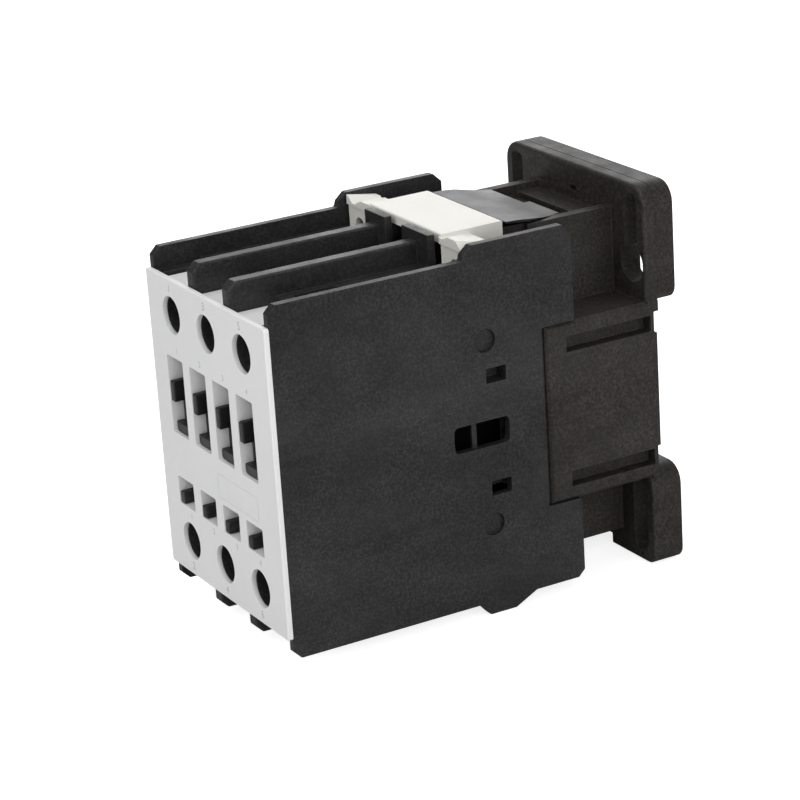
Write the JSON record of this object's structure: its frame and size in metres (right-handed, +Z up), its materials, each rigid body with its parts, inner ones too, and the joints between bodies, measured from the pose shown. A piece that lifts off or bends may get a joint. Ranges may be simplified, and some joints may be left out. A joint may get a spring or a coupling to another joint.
{
  "type": "motor contactor",
  "caption": "Power contactor with phase barriers: boxed grey front, black housing, ivory coil terminal head, rail-and-panel base, working slide, clamps and rail clip.",
  "frame": {"origin": "on the mounting panel plane, on the centre line of the rail, mid width", "axes": "+X to the right as seen from the front, +Y from the front towards the panel, +Z up"},
  "size_m": [0.055, 0.0982, 0.0862],
  "materials": {
    "cover_plastic": "fine satin moulded light grey",
    "housing_plastic": "fine spark-eroded grain, black",
    "base_plastic": "fine grain, black",
    "carrier_plastic": "smooth satin black",
    "bobbin_plastic": "natural glass-filled nylon",
    "head_plastic": "satin ivory",
    "clip_plastic": "satin black",
    "enamelled_copper": "wound enamelled copper wire",
    "coil_tape": "polyester tape, slightly glossy",
    "cushion_rubber": "matte",
    "core_laminations": "stacked laminations, ground pole faces",
    "copper": "drawn copper",
    "contact_silver": "matt silver alloy",
    "tinned_brass": "tin plate on brass",
    "zinc_steel": "zinc plate",
    "spring_steel": "bright drawn wire"
  },
  "bodies": {
    "root": {"front_cover": "cover_plastic", "housing": "housing_plastic", "base": "base_plastic", "line_terminal_1": "tinned_brass", "line_terminal_2": "tinned_brass", "line_terminal_3": "tinned_brass", "load_terminal_1": "tinned_brass", "load_terminal_2": "tinned_brass", "load_terminal_3": "tinned_brass", "fixed_contact_tips": "contact_silver", "fixed_core": "core_laminations", "shading_rings": "copper", "core_cushion": "cushion_rubber", "coil_bobbin": "bobbin_plastic", "coil_winding": "enamelled_copper", "coil_tape": "coil_tape", "coil_leads": "enamelled_copper", "coil_terminal_head": "head_plastic", "coil_terminal_left": "tinned_brass", "coil_terminal_right": "tinned_brass", "housing_screws": "zinc_steel", "return_spring_left": "spring_steel", "return_spring_right": "spring_steel", "rail_clip_spring": "spring_steel"},
    "carrier": {"contact_carrier": "carrier_plastic", "core_pin": "zinc_steel", "moving_core": "core_laminations", "contact_spring_1": "spring_steel", "contact_spring_2": "spring_steel", "contact_spring_3": "spring_steel"},
    "bridge_1": {"contact_bridge_1": "tinned_brass", "moving_contact_tips_1": "contact_silver"},
    "bridge_2": {"contact_bridge_2": "tinned_brass", "moving_contact_tips_2": "contact_silver"},
    "bridge_3": {"contact_bridge_3": "tinned_brass", "moving_contact_tips_3": "contact_silver"},
    "line_clamp_1": {"line_clamp_1": "zinc_steel"},
    "line_screw_1": {"line_screw_1": "zinc_steel"},
    "line_clamp_2": {"line_clamp_2": "zinc_steel"},
    "line_screw_2": {"line_screw_2": "zinc_steel"},
    "line_clamp_3": {"line_clamp_3": "zinc_steel"},
    "line_screw_3": {"line_screw_3": "zinc_steel"},
    "load_clamp_1": {"load_clamp_1": "zinc_steel"},
    "load_screw_1": {"load_screw_1": "zinc_steel"},
    "load_clamp_2": {"load_clamp_2": "zinc_steel"},
    "load_screw_2": {"load_screw_2": "zinc_steel"},
    "load_clamp_3": {"load_clamp_3": "zinc_steel"},
    "load_screw_3": {"load_screw_3": "zinc_steel"},
    "coil_clamp_left": {"coil_clamp_left": "zinc_steel"},
    "coil_screw_left": {"coil_screw_left": "zinc_steel"},
    "coil_clamp_right": {"coil_clamp_right": "zinc_steel"},
    "coil_screw_right": {"coil_screw_right": "zinc_steel"},
    "rail_clip": {"rail_clip": "clip_plastic"}
  },
  "joints": [
    {"name": "carrier_slide", "type": "slide", "parent": "root", "child": "carrier", "axis": [0, 1, 0], "range_m": [0, 0.006], "deforming": ["return_spring_left", "return_spring_right"]},
    {"name": "bridge_1_slide", "type": "slide", "parent": "carrier", "child": "bridge_1", "axis": [0, 1, 0], "range_m": [-0.002, 0], "deforming": ["contact_spring_1"]},
    {"name": "bridge_2_slide", "type": "slide", "parent": "carrier", "child": "bridge_2", "axis": [0, 1, 0], "range_m": [-0.002, 0], "deforming": ["contact_spring_2"]},
    {"name": "bridge_3_slide", "type": "slide", "parent": "carrier", "child": "bridge_3", "axis": [0, 1, 0], "range_m": [-0.002, 0], "deforming": ["contact_spring_3"]},
    {"name": "line_clamp_1_slide", "type": "slide", "parent": "root", "child": "line_clamp_1", "axis": [0, -1, 0], "range_m": [0, 0.004]},
    {"name": "line_screw_1_turn", "type": "hinge", "parent": "line_clamp_1", "child": "line_screw_1", "pos_m": [-0.0163, -0.0782, 0.0257], "axis": [0, -1, 0], "range_deg": [0, 1800.5]},
    {"name": "line_clamp_2_slide", "type": "slide", "parent": "root", "child": "line_clamp_2", "axis": [0, -1, 0], "range_m": [0, 0.004]},
    {"name": "line_screw_2_turn", "type": "hinge", "parent": "line_clamp_2", "child": "line_screw_2", "pos_m": [0, -0.0782, 0.0257], "axis": [0, -1, 0], "range_deg": [0, 1800.5]},
    {"name": "line_clamp_3_slide", "type": "slide", "parent": "root", "child": "line_clamp_3", "axis": [0, -1, 0], "range_m": [0, 0.004]},
    {"name": "line_screw_3_turn", "type": "hinge", "parent": "line_clamp_3", "child": "line_screw_3", "pos_m": [0.0163, -0.0782, 0.0257], "axis": [0, -1, 0], "range_deg": [0, 1800.5]},
    {"name": "load_clamp_1_slide", "type": "slide", "parent": "root", "child": "load_clamp_1", "axis": [0, -1, 0], "range_m": [0, 0.004]},
    {"name": "load_screw_1_turn", "type": "hinge", "parent": "load_clamp_1", "child": "load_screw_1", "pos_m": [-0.0163, -0.0782, -0.0257], "axis": [0, -1, 0], "range_deg": [0, 1800.5]},
    {"name": "load_clamp_2_slide", "type": "slide", "parent": "root", "child": "load_clamp_2", "axis": [0, -1, 0], "range_m": [0, 0.004]},
    {"name": "load_screw_2_turn", "type": "hinge", "parent": "load_clamp_2", "child": "load_screw_2", "pos_m": [0, -0.0782, -0.0257], "axis": [0, -1, 0], "range_deg": [0, 1800.5]},
    {"name": "load_clamp_3_slide", "type": "slide", "parent": "root", "child": "load_clamp_3", "axis": [0, -1, 0], "range_m": [0, 0.004]},
    {"name": "load_screw_3_turn", "type": "hinge", "parent": "load_clamp_3", "child": "load_screw_3", "pos_m": [0.0163, -0.0782, -0.0257], "axis": [0, -1, 0], "range_deg": [0, 1800.5]},
    {"name": "coil_clamp_left_slide", "type": "slide", "parent": "root", "child": "coil_clamp_left", "axis": [0, -1, 0], "range_m": [0, 0.0018]},
    {"name": "coil_screw_left_turn", "type": "hinge", "parent": "coil_clamp_left", "child": "coil_screw_left", "pos_m": [-0.0203, -0.046, 0.0349], "axis": [0, -1, 0], "range_deg": [0, 1080.5]},
    {"name": "coil_clamp_right_slide", "type": "slide", "parent": "root", "child": "coil_clamp_right", "axis": [0, -1, 0], "range_m": [0, 0.0018]},
    {"name": "coil_screw_right_turn", "type": "hinge", "parent": "coil_clamp_right", "child": "coil_screw_right", "pos_m": [0.0203, -0.046, 0.0349], "axis": [0, -1, 0], "range_deg": [0, 1080.5]},
    {"name": "rail_clip_slide", "type": "slide", "parent": "root", "child": "rail_clip", "axis": [0, 0, -1], "range_m": [0, 0.004], "deforming": ["rail_clip_spring"]}
  ],
  "couplings": [
    {"joint": "bridge_1_slide", "follows": "carrier_slide", "ratio": -0.33333},
    {"joint": "bridge_2_slide", "follows": "carrier_slide", "ratio": -0.33333},
    {"joint": "bridge_3_slide", "follows": "carrier_slide", "ratio": -0.33333},
    {"joint": "line_screw_1_turn", "follows": "line_clamp_1_slide", "rad_per_m": 7854},
    {"joint": "line_screw_2_turn", "follows": "line_clamp_2_slide", "rad_per_m": 7854},
    {"joint": "line_screw_3_turn", "follows": "line_clamp_3_slide", "rad_per_m": 7854},
    {"joint": "load_screw_1_turn", "follows": "load_clamp_1_slide", "rad_per_m": 7854},
    {"joint": "load_screw_2_turn", "follows": "load_clamp_2_slide", "rad_per_m": 7854},
    {"joint": "load_screw_3_turn", "follows": "load_clamp_3_slide", "rad_per_m": 7854},
    {"joint": "coil_screw_left_turn", "follows": "coil_clamp_left_slide", "rad_per_m": 10472},
    {"joint": "coil_screw_right_turn", "follows": "coil_clamp_right_slide", "rad_per_m": 10472}
  ]
}
